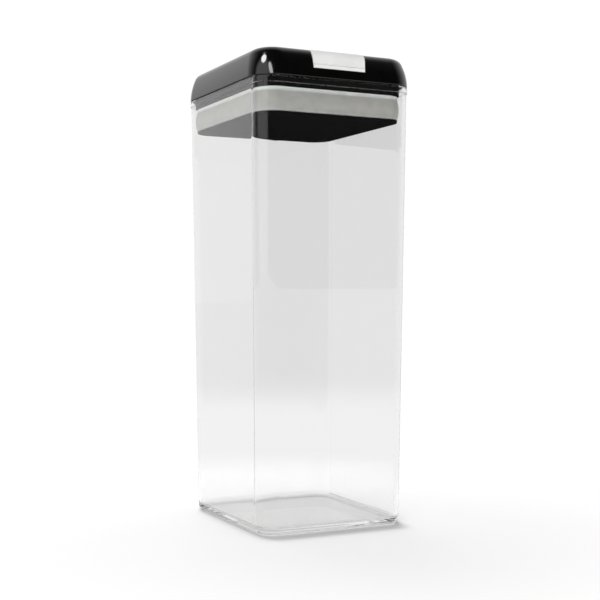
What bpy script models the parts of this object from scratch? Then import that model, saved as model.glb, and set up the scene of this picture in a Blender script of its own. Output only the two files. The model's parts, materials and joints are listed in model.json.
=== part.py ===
"""Tall square storage canister with a flip-lever lid.

The lid drops into the mouth of a clear tapered body. Flipping the white lever down turns a cam
that pulls the base plate up, which squeezes a silicone ring between two plates until it grips
the wall. Flipping it up lets a spring push the plate down and frees the ring.

Metres, +Z up. The origin is the centre of the underside of the body, and the lever opens at -Y.
"""

import math

import bmesh
import bpy
from mathutils import Matrix, Vector

MM = 0.001
GAP = 0.3 * MM  # air left between pieces that touch on the real object

# Driving dimensions
HEIGHT = 304.8 * MM  # underside of the body to the top of the lid
FOOT_FLAT_HALF = 49.9 * MM  # half the width of the flat that it stands on
FOOT_EDGE = 2.9 * MM  # radius round the foot
WALL_SPREAD = 4.1 * MM  # how much wider each side of the body is at the rim
RIM_TOP = 285.8 * MM
BEAD_HEIGHT = 4.4 * MM
BEAD_OUT = 0.5 * MM
WALL = 2.5 * MM
FLOOR = 3.5 * MM
FLOOR_EDGE = 2.5 * MM
FOOT_CORNER = 12.3 * MM
RIM_CORNER = 12.6 * MM

# Lid cover: a shell that stands on the rim, with a channel for the lever
SKIRT_Z = RIM_TOP + GAP
COVER_HALF = 58.0 * MM
COVER_LEAN = 4.0 * MM  # how far the curved sides would lean in at the top
LEVER_LEAN = 2.4 * MM  # the lever's face leans less, so its top stands a little proud
COVER_CORNER = 15.5 * MM
COVER_SHOULDER = 4.8 * MM  # height of the rounded top edge
COVER_WALL = 2.2 * MM
CHANNEL_FLOOR_Z = 291.9 * MM
CHANNEL_HALF_TOP = 19.9 * MM
CHANNEL_HALF_MOUTH = 19.2 * MM  # at the bottom of the notch in the front of the lid
CHANNEL_BACK = 6.8 * MM
CHANNEL_WALL = 2.0 * MM

# Flip lever and its cam
CAM_DROP = 3.0 * MM  # how far the plate moves while the lever turns
CAM_TURN = math.radians(90)
CAM_REACH = 6.0 * MM  # pin axis to the flat that bears on the channel floor
PIN_Z = CHANNEL_FLOOR_Z + GAP + CAM_REACH
LEVER_TOP = 6.2 * MM  # pin axis to the lever's top face
LEVER_PLATE = 2.3 * MM
LEVER_SIDE_GAP = 0.5 * MM
LIP_HEIGHT = 2.1 * MM
LIP_OUT = 0.4 * MM
PIN_RADIUS = 1.5 * MM
PIN_HALF_LENGTH = 17.0 * MM

# Neck frame, silicone ring and base plate, all inside the mouth of the body
NECK_HALF = 53.3 * MM
NECK_CORNER = 12.2 * MM
NECK_TOP_Z = 287.9 * MM
NECK_WALL = 2.0 * MM
RING_TOP_Z = 280.0 * MM
RING_LOW_Z = 264.6 * MM
RING_HALF = 52.3 * MM
RING_BULGE = 1.2 * MM
RING_THICK = 2.8 * MM
FRAME_LOW_Z = RING_TOP_Z + GAP
FRAME_PLATE = 2.4 * MM
GUIDE_HALF = 46.6 * MM
GUIDE_CORNER = 7.5 * MM
GUIDE_LOW_Z = 270.5 * MM
PLATE_TOP_Z = RING_LOW_Z - GAP
PLATE_LOW_Z = 263.3 * MM
PLATE_FLOOR = 2.0 * MM
PLATE_WALL_HALF = 48.9 * MM
PLATE_WALL = 1.6 * MM
PLATE_WALL_TOP_Z = 274.0 * MM

# Pull post and spring on the lid's axis
POST_RADIUS = 5.5 * MM
POST_TOP_Z = 291.0 * MM
FLANGE_RADIUS = 16.5 * MM
FLANGE_THICK = 2.0 * MM
BOSS_TOP_Z = 267.7 * MM
FLANGE_LOW_Z = BOSS_TOP_Z + GAP
FLANGE_TOP_Z = FLANGE_LOW_Z + FLANGE_THICK
EYE_RADIUS = 3.2 * MM
SPRING_RADIUS = 8.6 * MM
SPRING_WIRE = 0.5 * MM  # radius of the wire
SPRING_TURNS = 5

# Screws
FRAME_SCREW_X = 35.0 * MM
FRAME_SCREW_Y = 31.0 * MM
FRAME_SCREW = {"head": 3.0 * MM, "head_height": 2.0 * MM, "shank": 1.4 * MM, "length": 11.0 * MM}
POST_SCREW_XY = 9.0 * MM
POST_SCREW = {"head": 2.4 * MM, "head_height": 1.5 * MM, "shank": 1.1 * MM, "length": 4.6 * MM}
COVER_BOSS_RADIUS = 4.0 * MM

ROUND_STEPS = 32
CORNERS = [(sx, sy) for sx in (-1, 1) for sy in (-1, 1)]


# ---------------------------------------------------------------- scene, collections, materials
def clear_scene():
    for obj in list(bpy.data.objects):
        bpy.data.objects.remove(obj, do_unlink=True)


def new_collection(name):
    collection = bpy.data.collections.new(name)
    bpy.context.scene.collection.children.link(collection)
    return collection


def new_material(name, colour, roughness, metallic=0.0, transmission=0.0, alpha=1.0):
    material = bpy.data.materials.new(name)
    material.use_nodes = True
    shader = material.node_tree.nodes["Principled BSDF"]
    shader.inputs["Base Color"].default_value = (*colour, 1.0)
    shader.inputs["Roughness"].default_value = roughness
    shader.inputs["Metallic"].default_value = metallic
    shader.inputs["Transmission Weight"].default_value = transmission
    shader.inputs["Alpha"].default_value = alpha
    return material


clear_scene()
PARTS = new_collection("lidded_canister")
CUTTERS = new_collection("cutters")
CLEAR = new_material("clear_body", (0.93, 0.95, 0.95), 0.05, transmission=1.0)
BLACK = new_material("black_gloss", (0.012, 0.012, 0.012), 0.12)
WHITE = new_material("white_gloss", (0.82, 0.82, 0.81), 0.18)
SILICONE = new_material("silicone", (0.62, 0.62, 0.59), 0.45, transmission=0.2)
ACETAL = new_material("acetal", (0.70, 0.70, 0.68), 0.4)
STEEL = new_material("steel", (0.62, 0.62, 0.63), 0.25, metallic=1.0)


# ---------------------------------------------------------------- building blocks
def add_object(name, mesh, material=None):
    """A part when it has a material, otherwise a helper that only cuts or joins."""
    obj = bpy.data.objects.new(name, mesh)
    if material:
        PARTS.objects.link(obj)
        mesh.materials.append(material)
    else:
        CUTTERS.objects.link(obj)
        obj.hide_render = True
        obj.display_type = "WIRE"
    return obj


def to_mesh(name, bm):
    bmesh.ops.recalc_face_normals(bm, faces=bm.faces)
    mesh = bpy.data.meshes.new(name)
    bm.to_mesh(mesh)
    bm.free()
    return mesh


def edges_at(bm, z):
    return [e for e in bm.edges if all(abs(v.co.z - z) < 1e-6 for v in e.verts)]


def rounded_square(bm, half, corner, z, steps):
    """The points of a square with rounded corners, anticlockwise from above."""
    points = []
    for quarter in range(4):
        for i in range(steps + 1):
            angle = math.pi / 2 * (quarter + i / steps)
            cx = (half - corner) * (1, -1, -1, 1)[quarter]
            cy = (half - corner) * (1, 1, -1, -1)[quarter]
            x, y = cx + corner * math.cos(angle), cy + corner * math.sin(angle)
            points.append(bm.verts.new((x, y, z)))
    return points


def loft(levels, closed_loop=False, steps=6):
    """A skin through rounded squares, given as (half width, corner radius, z). Its two ends are
    capped, or joined to each other when the levels go once round a wall."""
    bm = bmesh.new()
    rings = [rounded_square(bm, half, corner, z, steps) for half, corner, z in levels]
    pairs = list(zip(rings, rings[1:] + rings[:1])) if closed_loop else list(zip(rings, rings[1:]))
    for low, high in pairs:
        for i in range(len(low)):
            j = (i + 1) % len(low)
            bm.faces.new((low[i], low[j], high[j], high[i]))
    if not closed_loop:
        bm.faces.new(rings[0])
        bm.faces.new(rings[-1])
    return bm


def edge_arc(half, corner, z, radius, direction, steps=3):
    """Levels that round a rim off: out from (half - radius, z) to (half, z + direction * radius)."""
    levels = []
    for i in range(steps + 1):
        angle = math.pi / 2 * i / steps
        inward = radius * (1 - math.sin(angle))
        levels.append((half - inward, corner - inward, z + direction * radius * (1 - math.cos(angle))))
    return levels


def rounded_block(half, low_z, high_z, corner, low_edge=0.0, high_edge=0.0):
    """A square block with rounded upright corners and, if asked, rounded ends."""
    low = edge_arc(half, corner, low_z, low_edge, 1) if low_edge else [(half, corner, low_z)]
    high = edge_arc(half, corner, high_z, high_edge, -1) if high_edge else [(half, corner, high_z)]
    return loft(low + high[::-1])


def box(x_range, y_range, z_range):
    bm = bmesh.new()
    bmesh.ops.create_cube(bm, size=1.0)
    for vert in bm.verts:
        picks = [r[1] if c > 0 else r[0] for r, c in zip((x_range, y_range, z_range), vert.co)]
        vert.co = Vector(picks)
    return bm


def cylinder(radius, low_z, high_z, x=0.0, y=0.0, steps=ROUND_STEPS):
    bm = bmesh.new()
    place = Matrix.Translation((x, y, (low_z + high_z) / 2))
    bmesh.ops.create_cone(
        bm, cap_ends=True, segments=steps, radius1=radius, radius2=radius, depth=high_z - low_z, matrix=place
    )
    return bm


def cross_bar(radius, half_length, z, steps=24):
    """A cylinder along X."""
    bm = bmesh.new()
    place = Matrix.Translation((0, 0, z)) @ Matrix.Rotation(math.radians(90), 4, "Y")
    bmesh.ops.create_cone(
        bm, cap_ends=True, segments=steps, radius1=radius, radius2=radius, depth=2 * half_length, matrix=place
    )
    return bm


def combine(obj, name, bm, operation):
    """Cuts from, joins to or keeps the overlap with obj, by a Boolean modifier."""
    helper = add_object(f"{obj.name}_{name}", to_mesh(name, bm))
    modifier = obj.modifiers.new(name, "BOOLEAN")
    modifier.operation = operation
    modifier.object = helper
    return helper


def cut(obj, name, bm):
    combine(obj, name, bm, "DIFFERENCE")


def join(obj, name, bm):
    combine(obj, name, bm, "UNION")


def shade_round(obj, angle=35):
    obj.data.shade_smooth()
    obj.data.set_sharp_from_angle(angle=math.radians(angle))


# ---------------------------------------------------------------- clear body
def body_half(z):
    return FOOT_FLAT_HALF + FOOT_EDGE + WALL_SPREAD * z / RIM_TOP


def body_corner(z):
    return FOOT_CORNER + (RIM_CORNER - FOOT_CORNER) * z / RIM_TOP


def build_container():
    """One skin: up the outside, over the rim bead, down the inside and across the floor."""
    outside = edge_arc(body_half(0), body_corner(0), 0, FOOT_EDGE, 1)
    bead_z, top_edge = RIM_TOP - BEAD_HEIGHT, 0.5 * MM
    outside.append((body_half(bead_z), body_corner(bead_z), bead_z))
    outside.append((body_half(bead_z) + BEAD_OUT, body_corner(bead_z) + BEAD_OUT, bead_z + BEAD_OUT))
    rim_half, rim_corner = body_half(RIM_TOP) + BEAD_OUT, RIM_CORNER + BEAD_OUT
    outside += edge_arc(rim_half, rim_corner, RIM_TOP, top_edge, -1)[::-1]

    inner_half, inner_corner = body_half(RIM_TOP) - WALL, RIM_CORNER - WALL
    inside = [
        (inner_half + top_edge, inner_corner + top_edge, RIM_TOP),
        (inner_half, inner_corner, RIM_TOP - top_edge),
    ]
    floor_half, floor_corner = body_half(FLOOR) - WALL, body_corner(FLOOR) - WALL
    inside += edge_arc(floor_half, floor_corner, FLOOR, FLOOR_EDGE, 1)[::-1]
    body = add_object("container", to_mesh("container", loft(outside + inside)), CLEAR)
    shade_round(body)


# ---------------------------------------------------------------- lid cover
def cover_half(z, lean=COVER_LEAN):
    rise = max(0.0, z - SKIRT_Z) / (HEIGHT - SKIRT_Z)
    return COVER_HALF - lean * rise**2


def shoulder_arc(z, high_z, lean, steps):
    """Insets and heights of the rounded top edge, from where the leaning side ends at z up to the
    flat top at high_z. The arc starts at the side's own slope."""
    start = math.atan(2 * lean * (z - SKIRT_Z) / (HEIGHT - SKIRT_Z) ** 2)
    radius = (high_z - z) / (1 - math.sin(start))
    arc = []
    for i in range(steps + 1):
        a = start + (math.pi / 2 - start) * i / steps
        inward = radius * (math.cos(start) - math.cos(a))
        arc.append((inward, z + radius * (math.sin(a) - math.sin(start))))
    return arc


def cover_form(inset=0.0, low_z=SKIRT_Z, high_z=HEIGHT, shoulder=COVER_SHOULDER, lean=COVER_LEAN):
    """The outer form of the lid cover, or one that lies inside it by the inset."""
    side_steps, shoulder_steps = 4, 5
    corner = COVER_CORNER - inset
    shoulder_z = high_z - shoulder
    levels = []
    for i in range(side_steps):
        z = low_z + (shoulder_z - low_z) * i / side_steps
        levels.append((cover_half(z, lean) - inset, corner, z))
    top_half = cover_half(shoulder_z, lean) - inset
    for inward, z in shoulder_arc(shoulder_z, high_z, lean, shoulder_steps):
        levels.append((top_half - inward, corner - inward, z))
    return loft(levels)


def channel_void():
    """The space the lever lies in: parallel at the pin, narrower at the bottom of the front notch."""
    front, over = -60 * MM, 5 * MM
    sides = (-CHANNEL_HALF_TOP, CHANNEL_HALF_TOP)
    bm = box(sides, (front, CHANNEL_BACK), (CHANNEL_FLOOR_Z, HEIGHT + over))
    for vert in bm.verts:
        if vert.co.y < 0 and vert.co.z < HEIGHT:
            vert.co.x = math.copysign(CHANNEL_HALF_MOUTH, vert.co.x)
    return bm


def channel_block(top_z):
    """The channel before it is hollowed. Its front leans like the cover's, and ends inside its wall."""
    half, front_low, front_top = CHANNEL_HALF_TOP + CHANNEL_WALL, -56.9 * MM, -52.9 * MM
    low_z = CHANNEL_FLOOR_Z - COVER_WALL
    bm = box((-half, half), (front_low, CHANNEL_BACK + CHANNEL_WALL), (low_z, top_z))
    for vert in bm.verts:
        if vert.co.y < 0 and vert.co.z > low_z + MM:
            vert.co.y = front_top
    return bm


def build_cover():
    cover = add_object("lid_cover", to_mesh("lid_cover", cover_form()), BLACK)
    inside = cover_form(COVER_WALL, SKIRT_Z - MM, HEIGHT - COVER_WALL, COVER_SHOULDER - 1.4 * MM)
    cut(cover, "inside", inside)

    into_top = 1.3 * MM
    join(cover, "channel", channel_block(HEIGHT - into_top))
    boss_low = FRAME_LOW_Z + FRAME_PLATE + GAP
    pilot_top = boss_low + FRAME_SCREW["length"]
    for i, (sx, sy) in enumerate(CORNERS):
        x, y = sx * FRAME_SCREW_X, sy * FRAME_SCREW_Y
        join(cover, f"boss_{i}", cylinder(COVER_BOSS_RADIUS, boss_low, HEIGHT - into_top, x, y, 20))
        cut(cover, f"pilot_{i}", cylinder(FRAME_SCREW["shank"] + GAP, boss_low - MM, pilot_top, x, y, 12))
    cut(cover, "channel_void", channel_void())
    post_hole = POST_RADIUS + 0.4 * MM
    cut(cover, "post_hole", cylinder(post_hole, CHANNEL_FLOOR_Z - 2 * COVER_WALL, CHANNEL_FLOOR_Z + MM))
    shade_round(cover)


# ---------------------------------------------------------------- neck frame
def build_frame():
    block = rounded_block(NECK_HALF, FRAME_LOW_Z, NECK_TOP_Z, NECK_CORNER)
    frame = add_object("neck_frame", to_mesh("neck_frame", block), BLACK)
    inner_half = NECK_HALF - NECK_WALL
    plate_top = FRAME_LOW_Z + FRAME_PLATE
    well = rounded_block(inner_half, plate_top, NECK_TOP_Z + MM, NECK_CORNER - NECK_WALL)
    cut(frame, "well", well)

    guide = rounded_block(GUIDE_HALF, GUIDE_LOW_Z, FRAME_LOW_Z + MM, GUIDE_CORNER)
    join(frame, "guide", guide)
    guide_wall = 1.8 * MM
    inside = GUIDE_HALF - guide_wall
    hollow = rounded_block(inside, GUIDE_LOW_Z - MM, FRAME_LOW_Z, GUIDE_CORNER - guide_wall)
    cut(frame, "guide_hollow", hollow)

    collar_radius, bore = 7.8 * MM, POST_RADIUS + GAP
    collar_top = CHANNEL_FLOOR_Z - COVER_WALL - GAP
    join(frame, "collar", cylinder(collar_radius, FRAME_LOW_Z + MM, collar_top))
    cut(frame, "collar_bore", cylinder(bore, FRAME_LOW_Z - MM, collar_top + MM))
    for i, (sx, sy) in enumerate(CORNERS):
        hole = cylinder(
            FRAME_SCREW["shank"] + GAP,
            FRAME_LOW_Z - MM,
            plate_top + MM,
            sx * FRAME_SCREW_X,
            sy * FRAME_SCREW_Y,
            12,
        )
        cut(frame, f"screw_hole_{i}", hole)
    shade_round(frame)


# ---------------------------------------------------------------- silicone ring
def build_ring():
    """A band that swells outwards at mid height, with a plain inside."""
    rows = 6
    height = RING_TOP_Z - RING_LOW_Z
    levels = []
    for i in range(rows + 1):
        swell = RING_BULGE * math.sin(math.pi * i / rows)
        levels.append((RING_HALF + swell, NECK_CORNER + swell, RING_LOW_Z + height * i / rows))
    inner_half, inner_corner = RING_HALF - RING_THICK, NECK_CORNER - RING_THICK
    levels += [(inner_half, inner_corner, RING_TOP_Z), (inner_half, inner_corner, RING_LOW_Z)]
    shade_round(add_object("seal_ring", to_mesh("seal_ring", loft(levels, closed_loop=True)), SILICONE))


# ---------------------------------------------------------------- base plate
def build_plate():
    edge = 0.4 * MM
    flange = rounded_block(RING_HALF, PLATE_LOW_Z, PLATE_TOP_Z, NECK_CORNER, low_edge=edge)
    plate = add_object("base_plate", to_mesh("base_plate", flange), BLACK)
    corner = NECK_CORNER - 3 * MM
    wall = rounded_block(PLATE_WALL_HALF, PLATE_LOW_Z + edge, PLATE_WALL_TOP_Z, corner)
    join(plate, "wall", wall)
    inside = PLATE_WALL_HALF - PLATE_WALL
    floor_z = PLATE_LOW_Z + PLATE_FLOOR
    tray = rounded_block(inside, floor_z, PLATE_WALL_TOP_Z + MM, corner - PLATE_WALL)
    cut(plate, "tray", tray)

    sunk, rib_half, rib_height = 0.8 * MM, 0.8 * MM, 3.0 * MM
    reach = inside + sunk
    along, across = (-reach, reach), (-rib_half, rib_half)
    rib_z = (floor_z - sunk, floor_z + rib_height)
    join(plate, "rib_x", box(along, across, rib_z))
    join(plate, "rib_y", box(across, along, rib_z))
    boss_radius = FLANGE_RADIUS + MM
    cut(plate, "rib_gap", cylinder(boss_radius, BOSS_TOP_Z, rib_z[1] + MM))
    join(plate, "boss", cylinder(boss_radius + sunk, floor_z - sunk, BOSS_TOP_Z))
    pilot = POST_SCREW["shank"] + GAP
    for i, (sx, sy) in enumerate(CORNERS):
        x, y = sx * POST_SCREW_XY, sy * POST_SCREW_XY
        low = FLANGE_TOP_Z - POST_SCREW["length"] - GAP
        cut(plate, f"pilot_{i}", cylinder(pilot, low, BOSS_TOP_Z + MM, x, y, 12))
    shade_round(plate)


# ---------------------------------------------------------------- pull post
def build_post():
    stem = cylinder(POST_RADIUS, FLANGE_LOW_Z + MM, POST_TOP_Z)
    post = add_object("pull_post", to_mesh("pull_post", stem), ACETAL)
    join(post, "flange", cylinder(FLANGE_RADIUS, FLANGE_LOW_Z, FLANGE_TOP_Z))
    half_x = POST_RADIUS - 0.9 * MM
    tang = box((-half_x, half_x), (-EYE_RADIUS, EYE_RADIUS), (POST_TOP_Z - 2 * MM, PIN_Z))
    join(post, "tang", tang)
    join(post, "eye", cross_bar(EYE_RADIUS, half_x, PIN_Z))
    cut(post, "pin_hole", cross_bar(PIN_RADIUS + GAP, POST_RADIUS + MM, PIN_Z))
    for i, (sx, sy) in enumerate(CORNERS):
        x, y = sx * POST_SCREW_XY, sy * POST_SCREW_XY
        hole = cylinder(POST_SCREW["shank"] + GAP, FLANGE_LOW_Z - MM, FLANGE_TOP_Z + MM, x, y, 12)
        cut(post, f"screw_hole_{i}", hole)
    shade_round(post)


def build_pin():
    pin = cross_bar(PIN_RADIUS, PIN_HALF_LENGTH, PIN_Z)
    bmesh.ops.bevel(
        pin,
        geom=[e for e in pin.edges if abs(e.verts[0].co.x - e.verts[1].co.x) < 1e-6],
        offset=0.3 * MM,
        segments=1,
        affect="EDGES",
    )
    shade_round(add_object("hinge_pin", to_mesh("hinge_pin", pin), STEEL))


# ---------------------------------------------------------------- flip lever
def cam_profile(steps=12):
    """The cam's edge, pin axis at the origin, as (y, z): its support in the direction that faces
    down falls evenly by CAM_DROP while the lever turns by CAM_TURN, so it always just touches."""
    slope = -CAM_DROP / CAM_TURN
    points = []
    for i in range(steps + 1):
        turn = CAM_TURN * i / steps
        support = CAM_REACH + slope * turn
        y = support * math.sin(turn) + slope * math.cos(turn)
        z = -support * math.cos(turn) + slope * math.sin(turn)
        points.append((y, z))
    return points


def lever_profile(front, steps=5):
    """The lever from the side: the flat underside, the cam, a rounded back and the top face."""
    back = CAM_REACH - CAM_DROP
    start = math.acos(back / LEVER_TOP)
    arc = [start + (math.pi / 2 - start) * i / steps for i in range(steps + 1)]
    back_arc = [(LEVER_TOP * math.cos(a), LEVER_TOP * math.sin(a)) for a in arc]
    return [(front, -CAM_REACH), *cam_profile(), *back_arc, (front, LEVER_TOP)]


def extruded_profile(name, points, half_width, z):
    """A flat outline in the Y-Z plane given thickness along X, as a mesh."""
    data = bpy.data.curves.new(name, "CURVE")
    data.dimensions = "2D"
    data.fill_mode = "BOTH"
    data.extrude = half_width
    spline = data.splines.new("POLY")
    spline.points.add(len(points) - 1)
    for point, (y, up) in zip(spline.points, points):
        point.co = (y, up, 0, 1)
    spline.use_cyclic_u = True
    curve = add_object(name, data)
    # local X to world Y, local Y to world Z, local Z to world X
    curve.matrix_world = Matrix(((0, 0, 1, 0), (1, 0, 0, 0), (0, 1, 0, z), (0, 0, 0, 1)))
    bpy.context.view_layer.update()
    evaluated = curve.evaluated_get(bpy.context.evaluated_depsgraph_get())
    bm = bmesh.new()
    bm.from_mesh(bpy.data.meshes.new_from_object(evaluated))
    bm.transform(curve.matrix_world)
    bmesh.ops.remove_doubles(bm, verts=bm.verts, dist=1e-6)
    bpy.data.objects.remove(curve, do_unlink=True)
    return bm


def build_lever():
    front = -60 * MM
    half = CHANNEL_HALF_TOP - LEVER_SIDE_GAP
    bm = extruded_profile("lever_outline", lever_profile(front), half, PIN_Z)
    for vert in bm.verts:
        if vert.co.y < front / 2 and vert.co.z < PIN_Z:
            vert.co.x = math.copysign(CHANNEL_HALF_MOUTH - LEVER_SIDE_GAP, vert.co.x)
    lever = add_object("flip_lever", to_mesh("flip_lever", bm), WHITE)
    combine(lever, "form", cover_form(inset=GAP, lean=LEVER_LEAN), "INTERSECT")

    under_z = PIN_Z - CAM_REACH
    lip_half, lip_back = CHANNEL_HALF_MOUTH - 2 * LEVER_SIDE_GAP, -53 * MM
    lip_front = -(cover_half(under_z) + LIP_OUT)
    join(lever, "lip", box((-lip_half, lip_half), (lip_front, lip_back), (under_z, under_z + LIP_HEIGHT)))

    rib, hollow_front, hollow_back = 2.2 * MM, -51.5 * MM, -9.0 * MM
    hollow_half = CHANNEL_HALF_MOUTH - LEVER_SIDE_GAP - rib
    hollow_z = (under_z - MM, PIN_Z + LEVER_TOP - LEVER_PLATE)
    cut(lever, "hollow", box((-hollow_half, hollow_half), (hollow_front, hollow_back), hollow_z))
    slot_half, slot_front, slot_back = POST_RADIUS + 0.7 * MM, -7.0 * MM, 10.0 * MM
    slot_top = PIN_Z + EYE_RADIUS + 0.8 * MM
    cut(lever, "post_slot", box((-slot_half, slot_half), (slot_front, slot_back), (under_z - MM, slot_top)))
    cut(lever, "pin_hole", cross_bar(PIN_RADIUS + GAP, half + MM, PIN_Z))
    shade_round(lever)


# ---------------------------------------------------------------- spring and screws
def build_spring():
    """A compression spring round the post, its wire clear of the flange and of the frame."""
    steps_per_turn = 16
    low = FLANGE_TOP_Z + GAP + SPRING_WIRE
    rise = FRAME_LOW_Z - GAP - SPRING_WIRE - low
    data = bpy.data.curves.new("return_spring", "CURVE")
    data.dimensions = "3D"
    data.bevel_depth = SPRING_WIRE
    data.bevel_resolution = 2
    data.use_fill_caps = True
    spline = data.splines.new("POLY")
    count = SPRING_TURNS * steps_per_turn + 1
    spline.points.add(count - 1)
    for i, point in enumerate(spline.points):
        share = i / (count - 1)
        turn = 2 * math.pi * SPRING_TURNS * share
        closed_ends = share - 0.06 * math.sin(2 * math.pi * share)
        place = (SPRING_RADIUS * math.cos(turn), SPRING_RADIUS * math.sin(turn), low + rise * closed_ends)
        point.co = (*place, 1)
    add_object("return_spring", data, STEEL)


def screw_mesh(name, size):
    """A pan-head screw standing head down, its bearing face at z = 0 and its shank up +Z."""
    head = cylinder(size["head"], -size["head_height"], 0.0, steps=20)
    bmesh.ops.bevel(
        head,
        geom=edges_at(head, -size["head_height"]),
        offset=size["head_height"] / 3,
        segments=2,
        profile=0.5,
        affect="EDGES",
    )
    obj = add_object(name + "_blank", to_mesh(name, head), STEEL)
    join(obj, "shank", cylinder(size["shank"], -size["head_height"] / 2, size["length"], steps=12))
    slot_long, slot_half = size["head"] * 0.55, size["head"] * 0.12
    depth = (-size["head_height"] - MM, -size["head_height"] * 0.45)
    long_side, short_side = (-slot_long, slot_long), (-slot_half, slot_half)
    cut(obj, "slot_x", box(long_side, short_side, depth))
    cut(obj, "slot_y", box(short_side, long_side, depth))
    bpy.context.view_layer.update()
    evaluated = obj.evaluated_get(bpy.context.evaluated_depsgraph_get())
    mesh = bpy.data.meshes.new_from_object(evaluated)
    bpy.data.objects.remove(obj, do_unlink=True)
    return mesh


def build_screws():
    sets = (
        ("frame_screw", FRAME_SCREW, FRAME_SCREW_X, FRAME_SCREW_Y, FRAME_LOW_Z - GAP, 0.0),
        ("post_screw", POST_SCREW, POST_SCREW_XY, POST_SCREW_XY, FLANGE_TOP_Z + GAP, math.pi),
    )
    for name, size, x, y, z, turn in sets:
        mesh = screw_mesh(name, size)
        mesh.shade_smooth()
        mesh.set_sharp_from_angle(angle=math.radians(35))
        for i, (sx, sy) in enumerate(CORNERS, start=1):
            screw = bpy.data.objects.new(f"{name}_{i}", mesh)
            PARTS.objects.link(screw)
            screw.location = (sx * x, sy * y, z)
            screw.rotation_euler = (turn, 0, 0)


build_container()
build_cover()
build_frame()
build_ring()
build_plate()
build_post()
build_pin()
build_lever()
build_spring()
build_screws()
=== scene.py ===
"""Looks for the lidded canister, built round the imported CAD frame. Metres, +Z up."""

import json
import math

import bmesh
import bpy
from mathutils import Matrix, Vector


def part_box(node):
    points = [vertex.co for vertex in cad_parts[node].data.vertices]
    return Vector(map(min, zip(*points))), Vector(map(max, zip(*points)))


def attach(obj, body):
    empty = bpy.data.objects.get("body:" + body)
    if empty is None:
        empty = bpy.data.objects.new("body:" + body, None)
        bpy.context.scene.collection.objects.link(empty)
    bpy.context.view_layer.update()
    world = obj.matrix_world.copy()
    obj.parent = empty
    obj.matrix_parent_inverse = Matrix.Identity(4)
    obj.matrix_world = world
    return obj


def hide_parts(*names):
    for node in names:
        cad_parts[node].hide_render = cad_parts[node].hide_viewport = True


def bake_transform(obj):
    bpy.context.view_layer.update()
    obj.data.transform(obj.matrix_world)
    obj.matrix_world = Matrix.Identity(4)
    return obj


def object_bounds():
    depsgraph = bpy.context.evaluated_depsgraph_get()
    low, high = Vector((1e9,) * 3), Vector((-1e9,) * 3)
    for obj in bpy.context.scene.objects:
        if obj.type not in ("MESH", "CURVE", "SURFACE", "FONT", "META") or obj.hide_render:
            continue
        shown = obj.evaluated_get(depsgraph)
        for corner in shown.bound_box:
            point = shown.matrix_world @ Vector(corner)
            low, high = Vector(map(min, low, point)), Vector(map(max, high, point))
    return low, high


MM = 0.001
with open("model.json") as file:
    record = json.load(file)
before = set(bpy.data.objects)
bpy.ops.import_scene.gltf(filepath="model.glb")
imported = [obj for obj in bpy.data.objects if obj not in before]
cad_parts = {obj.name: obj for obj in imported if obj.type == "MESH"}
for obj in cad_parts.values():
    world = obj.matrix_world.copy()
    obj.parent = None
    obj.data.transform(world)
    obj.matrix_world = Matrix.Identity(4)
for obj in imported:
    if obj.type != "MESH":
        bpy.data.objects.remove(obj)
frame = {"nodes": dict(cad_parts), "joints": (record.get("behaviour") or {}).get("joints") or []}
NODES = frame["nodes"]
CAD_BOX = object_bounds()
SCENE = bpy.context.scene


# ---------------------------------------------------------------- shader helpers
def feed_sockets(tree, node, values):
    """Sets each input of a node, or links it when its value is another node's socket."""
    for key, value in values.items():
        if isinstance(value, bpy.types.NodeSocket):
            tree.links.new(value, node.inputs[key])
        else:
            node.inputs[key].default_value = value


def calculate(tree, operation, first, second):
    """A Math node's result."""
    made = tree.nodes.new("ShaderNodeMath")
    made.operation = operation
    feed_sockets(tree, made, {0: first, 1: second})
    return made.outputs["Value"]


def spread(tree, source, start, end, low, high):
    """Eases from low to high while the source goes from start to end."""
    made = tree.nodes.new("ShaderNodeMapRange")
    made.interpolation_type = "SMOOTHSTEP"
    values = {"Value": source, "From Min": start, "From Max": end, "To Min": low, "To Max": high}
    feed_sockets(tree, made, values)
    return made.outputs["Result"]


def blend(tree, factor, first, second):
    """The first number at factor 0 and the second at factor 1."""
    made = tree.nodes.new("ShaderNodeMix")
    feed_sockets(tree, made, {0: factor, 2: first, 3: second})
    return made.outputs[0]


def vector_maths(tree, operation, first, second=None):
    """A Vector Math node, which gives a vector or a number."""
    made = tree.nodes.new("ShaderNodeVectorMath")
    made.operation = operation
    feed_sockets(tree, made, {0: first} if second is None else {0: first, 1: second})
    return made


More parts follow.
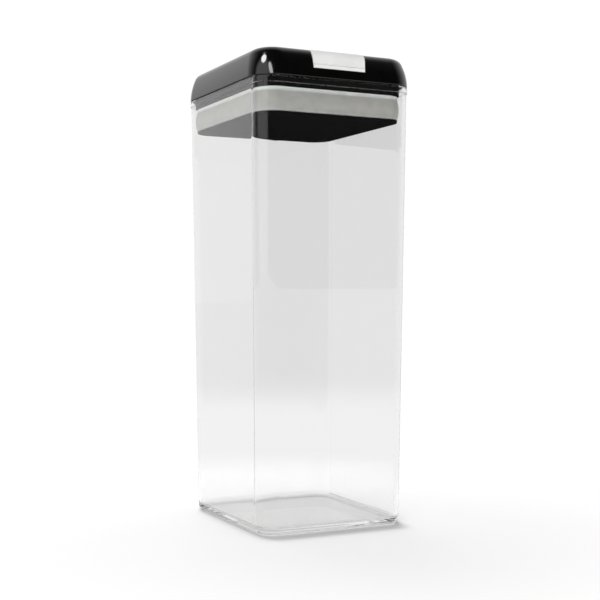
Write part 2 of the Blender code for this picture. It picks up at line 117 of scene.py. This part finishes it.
class Shader:
    """A material with a Principled shader, and short calls to feed it from procedural nodes."""

    def __init__(self, name, colour, roughness, **sockets):
        self.material = bpy.data.materials.new(name)
        self.material.use_nodes = True
        self.tree = self.material.node_tree
        self.main = self.tree.nodes["Principled BSDF"]
        self.output = self.tree.nodes["Material Output"]
        self.set("Base Color", (*colour, 1.0))
        self.set("Roughness", roughness)
        for key, value in sockets.items():
            self.set(key.replace("_", " "), value)
        self.place = self.node("ShaderNodeTexCoord").outputs["Object"]

    def set(self, socket, value):
        self.main.inputs[socket].default_value = value

    def node(self, kind, **inputs):
        made = self.tree.nodes.new(kind)
        for key, value in inputs.items():
            made.inputs[key].default_value = value
        return made

    def link(self, source, target):
        self.tree.links.new(source, target)

    def noise(self, scale, detail=3.0, stretch=(1, 1, 1), rough=0.5):
        mapping = self.node("ShaderNodeMapping", Scale=stretch)
        self.link(self.place, mapping.inputs["Vector"])
        noise = self.node("ShaderNodeTexNoise", Scale=scale, Detail=detail, Roughness=rough)
        self.link(mapping.outputs["Vector"], noise.inputs["Vector"])
        return noise.outputs["Fac"]

    def ramp(self, source, stops):
        ramp = self.node("ShaderNodeValToRGB")
        elements = ramp.color_ramp.elements
        while len(elements) < len(stops):
            elements.new(0.5)
        for element, (position, value) in zip(elements, stops):
            element.position = position
            element.color = (value, value, value, 1) if isinstance(value, float) else (*value, 1)
        self.link(source, ramp.inputs["Fac"])
        return ramp.outputs["Color"]

    def feed(self, socket, source, stops):
        self.link(self.ramp(source, stops), self.main.inputs[socket])

    def bump(self, layers):
        """Adds bumps in a chain, each (height source, distance in metres, strength)."""
        normal = None
        for source, distance, strength in layers:
            bump = self.node("ShaderNodeBump", Distance=distance, Strength=strength)
            self.link(source, bump.inputs["Height"])
            if normal:
                self.link(normal, bump.inputs["Normal"])
            normal = bump.outputs["Normal"]
        self.link(normal, self.main.inputs["Normal"])

    def height(self, low_z, high_z):
        """0 at low_z and 1 at high_z, for a piece that stays put."""
        split = self.node("ShaderNodeSeparateXYZ")
        self.link(self.place, split.inputs["Vector"])
        share = self.node("ShaderNodeMapRange")
        values = {"Value": split.outputs["Z"], "From Min": low_z, "From Max": high_z}
        feed_sockets(self.tree, share, values)
        return share.outputs["Result"]

    def share_of_height(self):
        """0 at the piece's own lowest point and 1 at its highest, in any pose."""
        split = self.node("ShaderNodeSeparateXYZ")
        generated = self.node("ShaderNodeTexCoord").outputs["Generated"]
        self.link(generated, split.inputs["Vector"])
        return split.outputs["Z"]

    def let_lamps_through(self, shares, most_bounces):
        """Lets shadow rays pass in the given shares, and other rays once they bounced too often."""
        path = self.node("ShaderNodeLightPath")
        late = calculate(self.tree, "GREATER_THAN", path.outputs["Ray Depth"], most_bounces)
        either = calculate(self.tree, "MAXIMUM", path.outputs["Is Shadow Ray"], late)
        tint = self.node("ShaderNodeMixRGB", Color1=(0.82, 0.82, 0.82, 1))
        self.link(path.outputs["Is Shadow Ray"], tint.inputs["Fac"])
        self.link(shares, tint.inputs["Color2"])
        clear = self.node("ShaderNodeBsdfTransparent")
        self.link(tint.outputs["Color"], clear.inputs["Color"])
        mix = self.node("ShaderNodeMixShader")
        self.link(either, mix.inputs["Fac"])
        self.link(self.main.outputs["BSDF"], mix.inputs[1])
        self.link(clear.outputs["BSDF"], mix.inputs[2])
        self.link(mix.outputs["Shader"], self.output.inputs["Surface"])


# ---------------------------------------------------------------- materials
def clear_glass():
    s = Shader("clear_glass", (0.99, 0.995, 0.99), 0.0, Transmission_Weight=1.0, IOR=1.5)
    waves = s.noise(14.0, 2.0, (1.0, 1.0, 0.35))
    smudges = s.noise(60.0, 4.0)
    s.feed("Roughness", smudges, [(0.42, 0.0), (0.75, 0.05)])
    s.bump([(waves, 0.6 * MM, 0.12)])
    # the thick foot bends lamp light away, but the flat base and the walls let it through
    foot = [(0.0, 0.97), (0.03, 0.2), (0.36, 0.2), (0.38, 0.97), (0.4, 0.97), (0.43, 0.2), (0.6, 0.4)]
    shares = s.ramp(s.height(0.0, 9 * MM), [*foot, (1.0, 0.97)])
    # rays trapped in the foot are let out early, because they would turn it black
    metres_up = s.height(0.0, 1.0)
    most_bounces = spread(s.tree, metres_up, 10 * MM, 50 * MM, 3.5, 24.5)
    s.let_lamps_through(shares, most_bounces)
    return s.material


def black_gloss():
    s = Shader("black_gloss", (0.004, 0.004, 0.004), 0.1, IOR=1.5)
    dark, light = (0.0008, 0.001, 0.0008), (0.0018, 0.0021, 0.0017)
    s.feed("Base Color", s.noise(90.0), [(0.3, dark), (0.7, light)])
    s.feed("Roughness", s.noise(35.0, 5.0), [(0.3, 0.06), (0.75, 0.14)])
    s.bump([(s.noise(22.0, 1.0), 0.4 * MM, 0.1), (s.noise(900.0, 2.0), 0.04 * MM, 0.15)])
    return s.material


def black_satin():
    s = Shader("black_satin", (0.002, 0.002, 0.002), 0.5, IOR=1.45, Specular_IOR_Level=0.0)
    dark, light = (0.0012, 0.0013, 0.0012), (0.0028, 0.003, 0.0027)
    s.feed("Base Color", s.noise(120.0), [(0.3, dark), (0.7, light)])
    s.feed("Roughness", s.noise(300.0, 4.0), [(0.3, 0.42), (0.7, 0.58)])
    s.bump([(s.noise(1800.0, 2.0), 0.05 * MM, 0.3)])
    return s.material


def white_gloss():
    skin = {"Subsurface_Weight": 0.12, "Subsurface_Scale": 2 * MM}
    s = Shader("white_gloss", (0.84, 0.84, 0.83), 0.2, IOR=1.5, **skin)
    s.feed("Base Color", s.noise(70.0), [(0.3, (0.78, 0.78, 0.765)), (0.7, (0.83, 0.83, 0.82))])
    s.feed("Roughness", s.noise(110.0, 5.0), [(0.3, 0.16), (0.75, 0.3)])
    s.bump([(s.noise(1000.0, 2.0), 0.04 * MM, 0.2)])
    return s.material


def milky_silicone():
    skin = {"Subsurface_Weight": 0.4, "Subsurface_Scale": 3 * MM}
    s = Shader("silicone", (0.45, 0.45, 0.42), 0.45, IOR=1.41, **skin)
    # painted light: the colour turns nearly white at the thin upper lip, in place of the light that
    # lip lets through, and is also a little paler towards the bottom than in the band
    stops = [
        (0.0, (0.56, 0.56, 0.535)),
        (0.12, (0.49, 0.49, 0.465)),
        (0.80, (0.45, 0.45, 0.425)),
        (0.87, (0.72, 0.72, 0.70)),
        (1.0, (0.97, 0.97, 0.95)),
    ]
    body = s.ramp(s.share_of_height(), stops)
    mottle = s.ramp(s.noise(180.0, 4.0), [(0.3, 0.93), (0.7, 1.07)])
    mix = s.node("ShaderNodeMixRGB", Fac=1.0)
    mix.blend_type = "MULTIPLY"
    s.link(body, mix.inputs["Color1"])
    s.link(mottle, mix.inputs["Color2"])
    s.link(mix.outputs["Color"], s.main.inputs["Base Color"])
    s.feed("Roughness", s.noise(240.0, 4.0), [(0.3, 0.38), (0.7, 0.55)])
    s.bump([(s.noise(700.0, 3.0), 0.08 * MM, 0.3)])
    return s.material


def natural_acetal():
    skin = {"Subsurface_Weight": 0.2, "Subsurface_Scale": 2 * MM}
    s = Shader("natural_acetal", (0.72, 0.72, 0.70), 0.4, **skin)
    s.feed("Base Color", s.noise(150.0), [(0.3, (0.68, 0.68, 0.65)), (0.7, (0.76, 0.76, 0.74))])
    s.feed("Roughness", s.noise(300.0, 4.0), [(0.3, 0.32), (0.7, 0.5)])
    s.bump([(s.noise(1200.0, 2.0), 0.04 * MM, 0.25)])
    return s.material


def bright_steel():
    s = Shader("bright_steel", (0.6, 0.6, 0.61), 0.25, Metallic=1.0)
    s.feed("Base Color", s.noise(400.0), [(0.3, (0.52, 0.52, 0.53)), (0.7, (0.68, 0.68, 0.70))])
    s.feed("Roughness", s.noise(800.0, 5.0, (1, 1, 6)), [(0.3, 0.16), (0.7, 0.36)])
    s.bump([(s.noise(1500.0, 3.0, (1, 1, 8)), 0.03 * MM, 0.3)])
    return s.material


# ---------------------------------------------------------------- mesh helpers
def rounded_square(bm, half, corner, z, steps):
    """Vertices round a square with rounded corners, counter-clockwise from +X."""
    points = []
    for quarter, (sx, sy) in enumerate(((1, 1), (-1, 1), (-1, -1), (1, -1))):
        cx, cy = (half - corner) * sx, (half - corner) * sy
        for i in range(steps + 1):
            angle = math.pi / 2 * (quarter + i / steps)
            x, y = cx + corner * math.cos(angle), cy + corner * math.sin(angle)
            points.append(bm.verts.new((x, y, z)))
    return points


def loft(levels, closed_loop=False, steps=16):
    """A skin through rounded squares, given as (half width, corner radius, z)."""
    bm = bmesh.new()
    rings = [rounded_square(bm, half, corner, z, steps) for half, corner, z in levels]
    above = rings[1:] + (rings[:1] if closed_loop else [])
    for low, high in zip(rings, above):
        for i in range(len(low)):
            j = (i + 1) % len(low)
            bm.faces.new((low[i], low[j], high[j], high[i]))
    if not closed_loop:
        bm.faces.new(rings[0])
        bm.faces.new(rings[-1])
    return bm


def edge_arc(half, corner, z, radius, direction, steps=6):
    """Levels that round a rim off: out from (half - radius, z) to (half, z + direction * radius)."""
    levels = []
    for i in range(steps + 1):
        angle = math.pi / 2 * i / steps
        inward, along = radius * (1 - math.sin(angle)), radius * (1 - math.cos(angle))
        levels.append((half - inward, corner - inward, z + direction * along))
    return levels


def box(*ranges):
    """A box between the ends of its x, y and z ranges."""
    bm = bmesh.new()
    bmesh.ops.create_cube(bm, size=1.0)
    for vert in bm.verts:
        vert.co = Vector([high if side > 0 else low for (low, high), side in zip(ranges, vert.co)])
    return bm


def rod(radius, length, place, steps):
    """A round bar along its own Z, centred where the matrix puts it."""
    bm = bmesh.new()
    sizes = {"radius1": radius, "radius2": radius, "depth": length}
    bmesh.ops.create_cone(bm, cap_ends=True, segments=steps, matrix=place, **sizes)
    return bm


def cylinder(radius, low_z, high_z, x=0.0, y=0.0, steps=40):
    place = Matrix.Translation((x, y, (low_z + high_z) / 2))
    return rod(radius, high_z - low_z, place, steps)


def cross_bar(radius, half_length, z, steps=40):
    place = Matrix.Translation((0, 0, z)) @ Matrix.Rotation(math.radians(90), 4, "Y")
    return rod(radius, 2 * half_length, place, steps)


def to_object(name, bm, material=None):
    """Puts a mesh into the scene as an object, with its faces turned outward."""
    bmesh.ops.recalc_face_normals(bm, faces=bm.faces)
    mesh = bpy.data.meshes.new(name)
    bm.to_mesh(mesh)
    bm.free()
    obj = bpy.data.objects.new(name, mesh)
    SCENE.collection.objects.link(obj)
    if material:
        mesh.materials.append(material)
    return obj


def carve(obj, steps):
    """Runs a list of (operation, mesh) Booleans on obj and keeps the result."""
    for operation, bm in steps:
        tool = to_object("tool", bm)
        modifier = obj.modifiers.new("carve", "BOOLEAN")
        modifier.operation, modifier.object, modifier.solver = operation, tool, "EXACT"
        bake(obj)
        bpy.data.objects.remove(tool, do_unlink=True)


def bake(obj):
    """Replaces the object's mesh by what its modifiers make of it."""
    bpy.context.view_layer.update()
    evaluated = obj.evaluated_get(bpy.context.evaluated_depsgraph_get())
    mesh = bpy.data.meshes.new_from_object(evaluated)
    obj.modifiers.clear()
    obj.data = mesh


def finish_edges(obj, width, angle=40, segments=3):
    """Rounds the sharp edges and shades the rest smooth."""
    obj.data.shade_smooth()
    if width:
        bevel = obj.modifiers.new("edges", "BEVEL")
        bevel.limit_method, bevel.angle_limit = "ANGLE", math.radians(angle)
        bevel.width, bevel.segments = width, segments
        bevel.use_clamp_overlap = True
        bevel.harden_normals = True
    else:
        obj.data.set_sharp_from_angle(angle=math.radians(angle))
    weighted = obj.modifiers.new("normals", "WEIGHTED_NORMAL")
    weighted.keep_sharp = True
    weighted.weight = 100


# ---------------------------------------------------------------- clear body
CORNERS = [(sx, sy) for sx in (-1, 1) for sy in (-1, 1)]
RIM_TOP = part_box("container")[1].z
HEIGHT = CAD_BOX[1][2]
FOOT_HALF, WALL_SPREAD, WALL, FLOOR = 52.8 * MM, 4.1 * MM, 2.5 * MM, 3.5 * MM
FOOT_CORNER, RIM_CORNER = 12.3 * MM, 12.6 * MM
FOOT_EDGE, FLOOR_EDGE, TOP_EDGE = 2.9 * MM, 2.5 * MM, 0.5 * MM
BEAD_HEIGHT, BEAD_OUT = 4.4 * MM, 0.5 * MM


def body_half(z):
    return FOOT_HALF + WALL_SPREAD * z / RIM_TOP


def body_corner(z):
    return FOOT_CORNER + (RIM_CORNER - FOOT_CORNER) * z / RIM_TOP


def quarter_turn(steps):
    return [math.pi / 2 * i / steps for i in range(steps + 1)]


def body_outside():
    """Levels up the outer face, from the rounded foot over the bead to the rim."""
    levels = edge_arc(body_half(0), body_corner(0), 0, FOOT_EDGE, 1)
    bead_z = RIM_TOP - BEAD_HEIGHT
    for z in (20 * MM, 150 * MM, bead_z - 2 * MM):
        levels.append((body_half(z), body_corner(z), z))
    for turn in quarter_turn(4):
        out, up = BEAD_OUT * (1 - math.cos(turn)), BEAD_OUT * math.sin(turn)
        levels.append((body_half(bead_z) + out, body_corner(bead_z) + out, bead_z + up))
    rim_half, rim_corner = body_half(RIM_TOP) + BEAD_OUT, RIM_CORNER + BEAD_OUT
    return levels + edge_arc(rim_half, rim_corner, RIM_TOP, TOP_EDGE, -1)[::-1]


def body_inside():
    """Levels down the inner face, from the rim to the rounded edge of the floor."""
    half, corner = body_half(RIM_TOP) - WALL, RIM_CORNER - WALL
    levels = []
    for turn in quarter_turn(4):
        out, down = TOP_EDGE * (1 - math.sin(turn)), TOP_EDGE * (1 - math.cos(turn))
        levels.append((half + out, corner + out, RIM_TOP - down))
    floor_half, floor_corner = body_half(FLOOR) - WALL, body_corner(FLOOR) - WALL
    return levels + edge_arc(floor_half, floor_corner, FLOOR, FLOOR_EDGE, 1)[::-1]


def make_container():
    glass = to_object("clear_body", loft(body_outside() + body_inside()), clear_glass())
    finish_edges(glass, 0, 60)
    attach(glass, "container")
    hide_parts("container")


# ---------------------------------------------------------------- lid cover
SKIRT_Z = RIM_TOP + 0.3 * MM
COVER_HALF, COVER_LEAN, COVER_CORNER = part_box("lid_cover")[1].x, 4.0 * MM, 15.5 * MM
COVER_SHOULDER, COVER_WALL, LEVER_LEAN = 4.8 * MM, 2.2 * MM, 2.4 * MM
CHANNEL_FLOOR_Z = 291.9 * MM
CHANNEL_HALF_TOP, CHANNEL_HALF_MOUTH = 19.9 * MM, 19.2 * MM
CHANNEL_BACK, CHANNEL_WALL = 6.8 * MM, 2.0 * MM
PIN_Z = next(joint["pos_m"][2] for joint in frame["joints"] if joint["name"] == "lever_flip")
FRAME_SCREW_XY = (35.0 * MM, 31.0 * MM)
OUTSIDE_Y = -60 * MM  # a little in front of the lid's front


def cover_half(z, lean=COVER_LEAN):
    """Half the lid's width at a height, with sides that lean in more and more."""
    rise = max(0.0, z - SKIRT_Z) / (HEIGHT - SKIRT_Z)
    return COVER_HALF - lean * rise**2


def shoulder_arc(z, high_z, lean, steps):
    """Insets and heights of the rounded top edge, which starts at the side's own slope."""
    start = math.atan(2 * lean * (z - SKIRT_Z) / (HEIGHT - SKIRT_Z) ** 2)
    radius = (high_z - z) / (1 - math.sin(start))
    arc = []
    for i in range(steps + 1):
        a = start + (math.pi / 2 - start) * i / steps
        inward, up = math.cos(start) - math.cos(a), math.sin(a) - math.sin(start)
        arc.append((radius * inward, z + radius * up))
    return arc


def cover_form(
    inset=0.0, z_range=(SKIRT_Z, HEIGHT), shoulder=COVER_SHOULDER, skirt_edge=0.0, lean=COVER_LEAN
):
    """The lid's outer form, or one inset from it."""
    low_z, high_z = z_range
    side_steps, shoulder_steps, corner_steps = 10, 9, 18
    corner = COVER_CORNER - inset
    shoulder_z = high_z - shoulder
    levels = []
    if skirt_edge:
        levels += edge_arc(cover_half(low_z) - inset, corner, low_z, skirt_edge, 1, 4)[:-1]
        low_z += skirt_edge
    for i in range(side_steps):
        z = low_z + (shoulder_z - low_z) * i / side_steps
        levels.append((cover_half(z, lean) - inset, corner, z))
    top_half = cover_half(shoulder_z, lean) - inset
    for inward, z in shoulder_arc(shoulder_z, high_z, lean, shoulder_steps):
        levels.append((top_half - inward, corner - inward, z))
    return loft(levels, steps=corner_steps)


def channel_void():
    """The lever's channel, which narrows towards the bottom of the notch in front."""
    half = CHANNEL_HALF_TOP
    bm = box((-half, half), (OUTSIDE_Y, CHANNEL_BACK), (CHANNEL_FLOOR_Z, HEIGHT + 5 * MM))
    for vert in bm.verts:
        if vert.co.y < 0 and vert.co.z < HEIGHT:
            vert.co.x = math.copysign(CHANNEL_HALF_MOUTH, vert.co.x)
    return bm


def channel_block(top_z):
    """Material for the channel's walls and floor, with a front that leans like the lid's."""
    half, low_z = CHANNEL_HALF_TOP + CHANNEL_WALL, CHANNEL_FLOOR_Z - COVER_WALL
    bm = box((-half, half), (-56.9 * MM, CHANNEL_BACK + CHANNEL_WALL), (low_z, top_z))
    for vert in bm.verts:
        if vert.co.y < 0 and vert.co.z > low_z + MM:
            vert.co.y = -52.9 * MM
    return bm


def make_cover():
    cover = to_object("cover_shell", cover_form(skirt_edge=0.5 * MM), black_gloss())
    inside = (SKIRT_Z - MM, HEIGHT - COVER_WALL)
    in_top_wall = HEIGHT - 1.3 * MM
    boss_radius, hole_radius, post_hole_radius = 4.0 * MM, 1.7 * MM, 5.9 * MM
    steps = [
        ("DIFFERENCE", cover_form(COVER_WALL, inside, COVER_SHOULDER - 1.4 * MM)),
        ("UNION", channel_block(in_top_wall)),
    ]
    boss_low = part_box("lid_cover")[0].z
    for sx, sy in CORNERS:
        x, y = sx * FRAME_SCREW_XY[0], sy * FRAME_SCREW_XY[1]
        hole = cylinder(hole_radius, boss_low - MM, boss_low + 11 * MM, x, y, 16)
        steps.append(("UNION", cylinder(boss_radius, boss_low, in_top_wall, x, y, 24)))
        steps.append(("DIFFERENCE", hole))
    post_hole = cylinder(post_hole_radius, CHANNEL_FLOOR_Z - 2 * COVER_WALL, CHANNEL_FLOOR_Z + MM)
    steps += [("DIFFERENCE", channel_void()), ("DIFFERENCE", post_hole)]
    carve(cover, steps)
    finish_edges(cover, 0.3 * MM)
    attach(cover, "lid")
    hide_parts("lid_cover")
    return cover


# ---------------------------------------------------------------- flip lever
CAM_REACH, CAM_DROP, CAM_TURN, LEVER_TOP = 6.0 * MM, 3.0 * MM, math.pi / 2, 6.2 * MM


def lever_outline(front):
    """The lever's side view round the pin, as (y, z): its lower rear is the cam."""
    slope = -CAM_DROP / CAM_TURN
    points = [(front, -CAM_REACH)]
    for i in range(25):
        turn = CAM_TURN * i / 24
        support = CAM_REACH + slope * turn
        y = support * math.sin(turn) + slope * math.cos(turn)
        points.append((y, slope * math.sin(turn) - support * math.cos(turn)))
    start = math.acos((CAM_REACH - CAM_DROP) / LEVER_TOP)
    for i in range(11):
        a = start + (math.pi / 2 - start) * i / 10
        points.append((LEVER_TOP * math.cos(a), LEVER_TOP * math.sin(a)))
    return points + [(front, LEVER_TOP)]


def extrude_outline(points, half_width, z):
    """A solid as wide as two half widths, from an outline round the height z."""
    bm = bmesh.new()
    sides = [[bm.verts.new((x, y, z + up)) for y, up in points] for x in (-half_width, half_width)]
    for i in range(len(points)):
        j = (i + 1) % len(points)
        bm.faces.new((sides[0][i], sides[0][j], sides[1][j], sides[1][i]))
    bm.faces.new(sides[0])
    bm.faces.new(sides[1])
    return bm


def make_lever():
    gap, side_gap = 0.3 * MM, 0.5 * MM
    half, low_half = CHANNEL_HALF_TOP - side_gap, CHANNEL_HALF_MOUTH - side_gap
    bm = extrude_outline(lever_outline(OUTSIDE_Y), half, PIN_Z)
    for vert in bm.verts:
        if vert.co.y < OUTSIDE_Y / 2 and vert.co.z < PIN_Z:
            vert.co.x = math.copysign(low_half, vert.co.x)
    lever = to_object("lever_shell", bm, white_gloss())

    def across(half_width, y_range, z_range):
        return box((-half_width, half_width), y_range, z_range)

    under_z = PIN_Z - CAM_REACH
    lip_front, lip_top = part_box("flip_lever")[0].y, under_z + 2.1 * MM
    hollow_top = PIN_Z + LEVER_TOP - 2.3 * MM
    lip = across(low_half - side_gap, (lip_front, -53 * MM), (under_z, lip_top))
    groove = across(half, (OUTSIDE_Y, -56.8 * MM), (lip_top, lip_top + 0.4 * MM))
    hollow = across(low_half - 2.2 * MM, (-51.5 * MM, -9 * MM), (under_z - MM, hollow_top))
    post_slot = across(6.2 * MM, (-7 * MM, 10 * MM), (under_z - MM, PIN_Z + 4 * MM))
    pin_hole = cross_bar(1.8 * MM, half + MM, PIN_Z)
    carve(lever, [("INTERSECT", cover_form(inset=gap, lean=LEVER_LEAN)), ("UNION", lip)])
    carve(lever, [("DIFFERENCE", cut) for cut in (groove, hollow, post_slot, pin_hole)])
    finish_edges(lever, 0.35 * MM)
    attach(lever, "lever")
    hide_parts("flip_lever")


# ---------------------------------------------------------------- silicone ring and spring
def make_ring():
    """A band with a lip at each end, and a groove below the upper lip."""
    low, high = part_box("seal_ring")
    half, corner, bulge, thick = 52.3 * MM, 12.2 * MM, 1.18 * MM, 2.8 * MM
    steps, groove_at, upper_lip, lower_lip = 32, 0.86, 0.945, 0.05
    height = high.z - low.z
    outside = []
    for i in range(steps + 1):
        t = i / steps
        swell = bulge * math.sin(math.pi * t / groove_at) ** 0.8 if t < groove_at else 0.0
        lip = 0.45 * MM * max(0.0, 1 - abs(t - upper_lip) / 0.05) ** 0.5
        foot = 0.35 * MM * max(0.0, 1 - abs(t - lower_lip) / 0.055) ** 0.5
        out = max(swell, lip, foot)
        edge = 0.25 * MM if i in (0, steps) else 0.0
        outside.append((half + out - edge, corner + out - edge, low.z + height * t))
    inner = [(half - thick, corner - thick, high.z), (half - thick, corner - thick, low.z)]
    ring = to_object("ring_band", loft(outside + inner, closed_loop=True), milky_silicone())
    finish_edges(ring, 0, 60)
    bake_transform(ring)
    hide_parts("seal_ring")
    return ring


def make_spring():
    """A coil round the post."""
    low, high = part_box("return_spring")
    wire, turns, per_turn = 0.5 * MM, 5, 40
    radius = high.x - wire
    data = bpy.data.curves.new("spring_wire", "CURVE")
    data.dimensions = "3D"
    data.bevel_depth, data.bevel_resolution, data.use_fill_caps = wire, 4, True
    spline = data.splines.new("POLY")
    count = turns * per_turn + 1
    closing = 0.06  # how much closer the coils lie at the ends
    spline.points.add(count - 1)
    rise = high.z - low.z - 2 * wire
    for i, point in enumerate(spline.points):
        share = i / (count - 1)
        turn = 2 * math.pi * turns * share
        up = share - closing * math.sin(2 * math.pi * share)
        point.co = (radius * math.cos(turn), radius * math.sin(turn), low.z + wire + rise * up, 1)
    curve = bpy.data.objects.new("spring_curve", data)
    SCENE.collection.objects.link(curve)
    bpy.context.view_layer.update()
    evaluated = curve.evaluated_get(bpy.context.evaluated_depsgraph_get())
    mesh = bpy.data.meshes.new_from_object(evaluated)
    bpy.data.objects.remove(curve, do_unlink=True)
    spring = bpy.data.objects.new("spring_coil", mesh)
    SCENE.collection.objects.link(spring)
    mesh.materials.clear()
    mesh.materials.append(bright_steel())
    mesh.shade_smooth()
    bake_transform(spring)
    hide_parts("return_spring")


# ---------------------------------------------------------------- CAD nodes that stay
def dress_cad_nodes():
    """Gives the CAD pieces that stay visible their materials: steel unless named here."""
    satin, acetal, steel = black_satin(), natural_acetal(), bright_steel()
    dress = {"neck_frame": satin, "base_plate": satin, "pull_post": acetal}
    for name, node in NODES.items():
        if not node.hide_render:
            for slot in node.material_slots:
                slot.material = dress.get(name, steel)


# ---------------------------------------------------------------- studio
def toward(azimuth, elevation):
    """A unit direction: azimuth in degrees from +Y towards +X, elevation above the horizon."""
    a, e = math.radians(azimuth), math.radians(elevation)
    return Vector((math.sin(a) * math.cos(e), math.cos(a) * math.cos(e), math.sin(e)))


BEHIND = toward(31, 0)  # where the studio is brightest
AMBIENT, BACKDROP = 0.38, 1.02  # what matt surfaces are lit by, and what the camera sees
STRAIGHT_THROUGH = 0.81  # what shows through the clear body


def softbox(name, azimuth, elevation, distance, size, power, glossy, lean=0.0):
    """A lamp that either shows as a highlight on the lid or lights the rest."""
    aim = Vector((0, 0, 0.2))
    data = bpy.data.lights.new(name, "AREA")
    data.shape = "ELLIPSE" if glossy else "RECTANGLE"
    data.size, data.size_y, data.energy = size[0], size[1], power
    lamp = bpy.data.objects.new(name, data)
    SCENE.collection.objects.link(lamp)
    lamp.location = aim + toward(azimuth, elevation) * distance
    lamp.rotation_euler = (aim - lamp.location).to_track_quat("-Z", "Y").to_euler()
    lamp.rotation_euler.rotate_axis("Z", math.radians(lean))
    lamp.visible_camera = False
    lamp.visible_glossy, lamp.visible_diffuse = glossy, not glossy
    lamp.visible_transmission = False
    return lamp


def show_only_on(lamps, obj):
    """Keeps the small bright lamps from leaving streaks in the clear body."""
    lit = bpy.data.collections.new("shows_glints")
    lit.objects.link(obj)
    for lamp in lamps:
        lamp.light_linking.receiver_collection = lit


def keep_off(lamp, obj):
    """Keeps the strong lamp at the back from bleaching the pale ring."""
    shaded = bpy.data.collections.new("kept_off")
    shaded.objects.link(obj)
    shaded.collection_objects[0].light_linking.link_state = "EXCLUDE"
    lamp.light_linking.receiver_collection = shaded


def seen_through(tree, direction, path):
    """What a ray that has left the clear body sees: an even pale grey when it came straight through,
    and after a reflection inside the body, a studio that is darker towards -Y than towards +Y."""
    behind = vector_maths(tree, "DOT_PRODUCT", direction, BEHIND).outputs["Value"]
    reflected = spread(tree, behind, -0.5, 0.4, 0.12, STRAIGHT_THROUGH)
    return blend(tree, path.outputs["Glossy Depth"], STRAIGHT_THROUGH, reflected)


def make_world():
    """White studio with its own level for each kind of ray. Gloss sees it dark towards -Y."""
    world = bpy.data.worlds.new("studio")
    SCENE.world = world
    world.use_nodes = True
    tree = world.node_tree
    background = tree.nodes["Background"]
    direction = tree.nodes.new("ShaderNodeTexCoord").outputs["Generated"]
    path = tree.nodes.new("ShaderNodeLightPath")

    def lobe(centre, start, end, low, high):
        facing = vector_maths(tree, "DOT_PRODUCT", direction, centre).outputs["Value"]
        return spread(tree, facing, start, end, low, high)

    def add(first, second):
        return calculate(tree, "ADD", first, second)

    outermost = calculate(tree, "LESS_THAN", path.outputs["Ray Depth"], 2.5)
    glow = calculate(tree, "MULTIPLY", lobe(toward(-118, 16), 0.80, 0.93, 0.0, 1.45), outermost)
    gloss = add(lobe(BEHIND, -0.35, 0.55, 0.02, 1.0), lobe(toward(-34, 12), 0.6, 0.93, 0.0, 0.2))
    through = seen_through(tree, direction, path)
    level = blend(tree, path.outputs["Is Transmission Ray"], add(gloss, glow), through)
    level = blend(tree, path.outputs["Diffuse Depth"], level, AMBIENT)
    level = blend(tree, path.outputs["Is Camera Ray"], level, BACKDROP)
    feed_sockets(tree, background, {"Color": (1, 1, 1, 1), "Strength": level})


def make_stage():
    """A pale floor that fades into the white studio away from the object, clear from below."""
    bm = bmesh.new()
    bmesh.ops.create_grid(bm, x_segments=2, y_segments=2, size=8.0)
    floor = to_object("studio_floor", bm)
    floor.location.z = -0.0002
    s = Shader("studio_floor", (0.86, 0.86, 0.86), 0.6, Specular_IOR_Level=0.0)
    s.feed("Base Color", s.noise(2.0), [(0.3, (0.85, 0.85, 0.85)), (0.7, (0.87, 0.87, 0.87))])
    away = vector_maths(s.tree, "LENGTH", s.place).outputs["Value"]
    heading = vector_maths(s.tree, "NORMALIZE", s.place).outputs["Vector"]
    path = s.node("ShaderNodeLightPath")
    far = seen_through(s.tree, heading, path)
    through = blend(s.tree, spread(s.tree, away, 0.7, 1.15, 0.0, 1.0), 0.88, far)
    glow = s.node("ShaderNodeEmission", Color=(1, 1, 1, 1))
    s.link(blend(s.tree, path.outputs["Is Transmission Ray"], 1.03, through), glow.inputs["Strength"])

    def mix(factor, first, second):
        made = s.node("ShaderNodeMixShader")
        feed_sockets(s.tree, made, {0: factor, 1: first, 2: second})
        return made.outputs["Shader"]

    fade = spread(s.tree, away, 0.1, 0.3, 0.0, 1.0)
    top = mix(fade, s.main.outputs["BSDF"], glow.outputs["Emission"])
    from_below = s.node("ShaderNodeNewGeometry").outputs["Backfacing"]
    clear = s.node("ShaderNodeBsdfTransparent").outputs["BSDF"]
    s.link(mix(from_below, top, clear), s.output.inputs["Surface"])
    floor.data.materials.append(s.material)


def make_camera():
    """A long lens, level with the middle of the body. Its shift puts the object left of centre."""
    data = bpy.data.cameras.new("camera")
    data.sensor_width, data.lens = 36.0, 63.324
    data.shift_x, data.shift_y = 0.208333, -0.012917
    camera = bpy.data.objects.new("camera", data)
    SCENE.collection.objects.link(camera)
    camera.location = (-0.3554, -0.6321, 0.1481)
    camera.rotation_euler = (math.radians(90.29), 0, math.radians(-22.845))
    SCENE.camera = camera


SCENE.view_settings.view_transform = "Standard"
make_camera()
make_world()
make_stage()
glints = [
    softbox("glint_left", -118, 47, 1.6, (0.5, 0.45), 11, True),
    softbox("glint_front", -158, 24, 1.6, (0.36, 1.0), 9, True, 25.0),
]
softbox("fill_front", -135, 12, 1.5, (1.0, 0.8), 12, False)
back = softbox("back", 10, 26, 1.5, (1.2, 0.5), 32, False)
make_container()
show_only_on(glints, make_cover())
make_lever()
keep_off(back, make_ring())
make_spring()
dress_cad_nodes()

bpy.context.view_layer.update()
